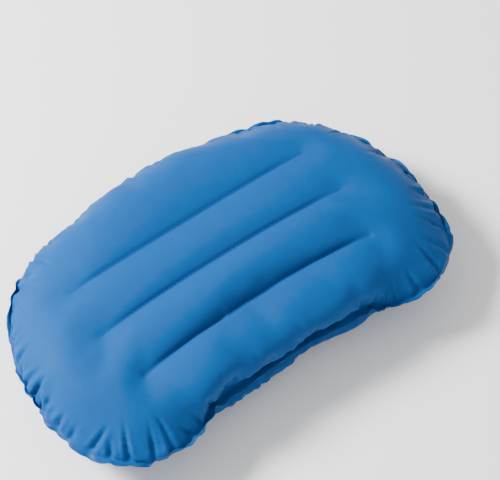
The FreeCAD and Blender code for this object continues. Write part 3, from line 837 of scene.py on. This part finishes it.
def button_shape(work):
    """Dished head with a raised rim, a spigot inside the spring, and the stem."""
    dish = [(HEAD * t, HEAD_TOP - 0.9 * MM * (1 - t * t) - 0.05 * MM) for t in (0.0, 0.2, 0.4, 0.6, 0.75)]
    spigot, spigot_end = 2.2 * MM, HEAD_BOTTOM - 0.8 * MM
    lathe(work, dish + [(HEAD * 0.84, HEAD_TOP), (HEAD - 0.4 * MM, HEAD_TOP), (HEAD, HEAD_TOP - 0.4 * MM),
                        (HEAD, HEAD_BOTTOM), (spigot, HEAD_BOTTOM), (spigot, spigot_end),
                        (STEM, spigot_end), (STEM, STEM_END), (0.0, STEM_END)])


def seal_shape(work):
    """Disc on the stem, with a raised lip that meets the seat."""
    lathe(work, [(STEM, SEAL_BOTTOM), (6.6 * MM, SEAL_BOTTOM), (7.0 * MM, -7.9 * MM), (7.0 * MM, SEAL_TOP),
                 (5.6 * MM, SEAL_TOP), (5.3 * MM, -7.2 * MM), (STEM, -7.2 * MM)])


def retainer_shape(work):
    """Washer under the seal, its lower edge cut back."""
    lathe(work, [(STEM, WASHER_BOTTOM), (2.8 * MM, WASHER_BOTTOM), (3.2 * MM, -8.5 * MM),
                 (3.2 * MM, SEAL_BOTTOM), (STEM, SEAL_BOTTOM)])


def ring_shape(work):
    """Ring round the collar, with the fixed half of the strap."""
    lathe(work, [(COLLAR, RING_BOTTOM), (RING, RING_BOTTOM), (RING, RING_TOP), (COLLAR, RING_TOP)])
    half = STRAP_WIDTH / 2
    block(work, (COLLAR + 0.5 * MM, -half, RING_BOTTOM), (HINGE_X, half, RING_BOTTOM + STRAP))
    block(work, (HINGE_X - STRAP, -half, RING_BOTTOM), (HINGE_X - 0.1 * MM, half, HINGE_Z - 0.46 * MM))


def cap_shape(work):
    """Lid with a rounded rim and two rings in its face, plug ring, finger tab, half the strap."""
    low, top = CAP_BOTTOM, CAP_TOP
    face = [(0.0, top - 0.2 * MM), (4.0 * MM, top - 0.2 * MM), (4.3 * MM, top), (5.0 * MM, top),
            (5.3 * MM, top - 0.2 * MM), (9.6 * MM, top - 0.2 * MM), (10.1 * MM, top), (CAP - 0.5 * MM, top),
            (CAP - 0.15 * MM, top - 0.15 * MM), (CAP, top - 0.5 * MM), (CAP, low)]
    lathe(work, face + [(PLUG, low), (PLUG - 0.15 * MM, PLUG_BOTTOM), (PLUG - 0.8 * MM, PLUG_BOTTOM),
                        (PLUG - 0.8 * MM, low), (0.0, low)])
    half, tab = STRAP_WIDTH / 2, 3.5 * MM
    block(work, (-15.6 * MM, -tab, low + 0.05 * MM), (-CAP + 1.5 * MM, tab, low + 0.7 * MM))
    block(work, (CAP - 1.5 * MM, -half, low + 0.05 * MM), (HINGE_X, half, low + STRAP))
    block(work, (HINGE_X - STRAP, -half, HINGE_Z + 0.1 * MM), (HINGE_X, half, low + 0.2 * MM))
    rod(work, (HINGE_X, 0, HINGE_Z), FOLD, STRAP_WIDTH)


def node_tree(name, sizes):
    """Geometry node tree with a named input for each size. Returns it and its input node."""
    tree = bpy.data.node_groups.new(name, "GeometryNodeTree")
    for label, value in sizes.items():
        kind = "NodeSocketInt" if isinstance(value, int) else "NodeSocketFloat"
        tree.interface.new_socket(label, in_out="INPUT", socket_type=kind)
    tree.interface.new_socket("Geometry", in_out="OUTPUT", socket_type="NodeSocketGeometry")
    return tree, tree.nodes.new("NodeGroupInput").outputs


def from_nodes(name, tree, sizes, shape, finish):
    """Plain mesh made by the tree at these sizes, in the valve's frame."""
    real = add(tree, "GeometryNodeRealizeInstances", {}, {"Geometry": shape})
    dressed = add(tree, "GeometryNodeSetMaterial", {"Material": finish}, {"Geometry": real.outputs[0]})
    add(tree, "NodeGroupOutput", {}, {"Geometry": dressed.outputs[0]})
    piece = new_object(name, bpy.data.meshes.new(name))
    modifier = piece.modifiers.new("made", "NODES")
    modifier.node_group = tree
    for socket in tree.interface.items_tree:
        if socket.in_out == "INPUT":
            modifier[socket.identifier] = sizes[socket.name]
    finished(piece)
    work = bmesh.new()
    work.from_mesh(piece.data)
    bmesh.ops.remove_doubles(work, verts=work.verts, dist=0.001 * MM)
    bmesh.ops.recalc_face_normals(work, faces=work.faces)
    work.transform(VALVE_FRAME)
    work.to_mesh(piece.data)
    work.free()
    for polygon in piece.data.polygons:
        polygon.use_smooth = True
    return piece


def coil_spring():
    """Compression spring between the guide and the button's head."""
    wire = 0.25 * MM
    sizes = {"Turns": 4.0, "Coil radius": 2.85 * MM, "Wire radius": wire, "Foot": HUB_TOP + wire,
             "Length": HEAD_BOTTOM - HUB_TOP - 2 * wire}
    tree, size = node_tree("coil_spring", sizes)
    path = add(tree, "GeometryNodeCurveSpiral", {"Resolution": 48},
               {"Rotations": size["Turns"], "Start Radius": size["Coil radius"],
                "End Radius": size["Coil radius"], "Height": size["Length"]})
    section = add(tree, "GeometryNodeCurvePrimitiveCircle", {"Resolution": 12},
                  {"Radius": size["Wire radius"]})
    wound = add(tree, "GeometryNodeCurveToMesh", {"Fill Caps": True},
                {"Curve": path.outputs[0], "Profile Curve": section.outputs[0]})
    lift = add(tree, "ShaderNodeCombineXYZ", {}, {"Z": size["Foot"]})
    placed = add(tree, "GeometryNodeTransform", {},
                 {"Geometry": wound.outputs[0], "Translation": lift.outputs[0]})
    return from_nodes("coil_spring", tree, sizes, placed.outputs[0], MATERIALS["steel"])


def tab_ridges():
    """Row of grip ridges across the cap's finger tab."""
    sizes = {"Count": 4, "Pitch": 0.62 * MM, "Width": 5.4 * MM, "Thickness": 0.3 * MM,
             "Outer end": -15.2 * MM, "Height": CAP_BOTTOM + 0.72 * MM}
    tree, size = node_tree("tab_ridges", sizes)
    start = add(tree, "ShaderNodeCombineXYZ", {}, {"X": size["Outer end"], "Z": size["Height"]})
    step = add(tree, "ShaderNodeCombineXYZ", {}, {"X": size["Pitch"]})
    row = add(tree, "GeometryNodeMeshLine", {},
              {"Count": size["Count"], "Start Location": start.outputs[0], "Offset": step.outputs[0]})
    bar = add(tree, "ShaderNodeCombineXYZ", {},
              {"X": size["Thickness"], "Y": size["Width"], "Z": size["Thickness"]})
    ridge = add(tree, "GeometryNodeMeshCube", {"Vertices X": 2, "Vertices Y": 2, "Vertices Z": 2},
                {"Size": bar.outputs[0]})
    ridges = add(tree, "GeometryNodeInstanceOnPoints", {},
                 {"Points": row.outputs[0], "Instance": ridge.outputs[0]})
    piece = from_nodes("tab_ridges", tree, sizes, ridges.outputs[0], MATERIALS["tpu"])
    bevel = piece.modifiers.new("edges", "BEVEL")
    bevel.width, bevel.segments = 0.08 * MM, 2
    return finished(piece)


# piece, node it replaces, body, material slot, finish, shape, and how far its edges are rounded
MOULDINGS = (
    ("collar", "valve_base", "pillow", "valve_tpu", "tpu", base_shape, 0.12 * MM),
    ("insert", "valve_body", "pillow", "valve_plastic", "abs", body_shape, 0.12 * MM),
    ("push_button", "valve_button", "button", "button_plastic", "button", button_shape, 0.08 * MM),
    ("seal_disc", "valve_seal", "button", "silicone", "silicone", seal_shape, 0.08 * MM),
    ("seal_washer", "seal_retainer", "button", "valve_plastic", "abs", retainer_shape, 0.08 * MM),
    ("strap_ring", "cap_ring", "pillow", "valve_tpu", "tpu", ring_shape, 0.15 * MM),
    ("dust_cap", "valve_cap", "cap", "valve_tpu", "tpu", cap_shape, 0.15 * MM),
)


def build_valve():
    """Make the valve's mouldings, the cap's ridges, and the spring that the button presses together."""
    for row in MOULDINGS:
        moulding(*row)
    ridges = tab_ridges()
    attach(ridges, "cap")
    spring = coil_spring()
    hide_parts("valve_spring")
    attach(spring, "pillow")
    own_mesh(spring)


build_valve()


# ---- floor, light, camera -------------------------------------------------------------------
def floor():
    """Pale sheet that the pillow lies on, 6 m square."""
    half = 3.0
    corners = [(-half, -half, 0), (half, -half, 0), (half, half, 0), (-half, half, 0)]
    mesh = bpy.data.meshes.new("floor")
    mesh.from_pydata(corners, [], [(0, 1, 2, 3)])
    plane = bpy.data.objects.new("floor", mesh)
    bpy.context.scene.collection.objects.link(plane)
    mesh.materials.append(material("paper_floor", "#fcfcfc", 0.9)[0])


def area_light(name, place, size, energy):
    """White square light aimed at the middle of the pillow."""
    aim = (0, 0, 0.05)
    data = bpy.data.lights.new(name, "AREA")
    data.size, data.energy = size, energy
    light = bpy.data.objects.new(name, data)
    bpy.context.scene.collection.objects.link(light)
    light.location = place
    light.rotation_euler = (Vector(aim) - Vector(place)).to_track_quat("-Z", "Y").to_euler()


def camera():
    """Long lens from the front left, well above the pillow."""
    azimuth, elevation = math.radians(-36.1), math.radians(57.8)
    distance = 2.1
    seen_width = 0.49603                     # width of the view, where the pillow is
    back = Vector((math.sin(azimuth) * math.cos(elevation), -math.cos(azimuth) * math.cos(elevation),
                   math.sin(elevation)))
    data = bpy.data.cameras.new("camera")
    data.sensor_width = 36
    data.lens = data.sensor_width * distance / seen_width
    data.shift_x, data.shift_y = 0.0645, 0.066
    data.clip_end = 20
    eye = bpy.data.objects.new("camera", data)
    bpy.context.scene.collection.objects.link(eye)
    eye.location = Vector((0, 0, HEIGHT / 2)) + back * distance
    eye.rotation_euler = back.to_track_quat("Z", "Y").to_euler()
    bpy.context.scene.camera = eye


def studio():
    """Even white surroundings, a key light from the back left and a faint fill from the front."""
    world = bpy.data.worlds.new("studio")
    bpy.context.scene.world = world
    world.use_nodes = True
    sky = world.node_tree.nodes["Background"]
    sky.inputs["Color"].default_value = (1, 1, 1, 1)
    sky.inputs["Strength"].default_value = 0.8
    area_light("key", (-1.2, 1.2, 1.5), 0.7, 150)
    area_light("fill", (-0.6, -1.6, 1.8), 1.5, 5)


floor()
studio()
camera()
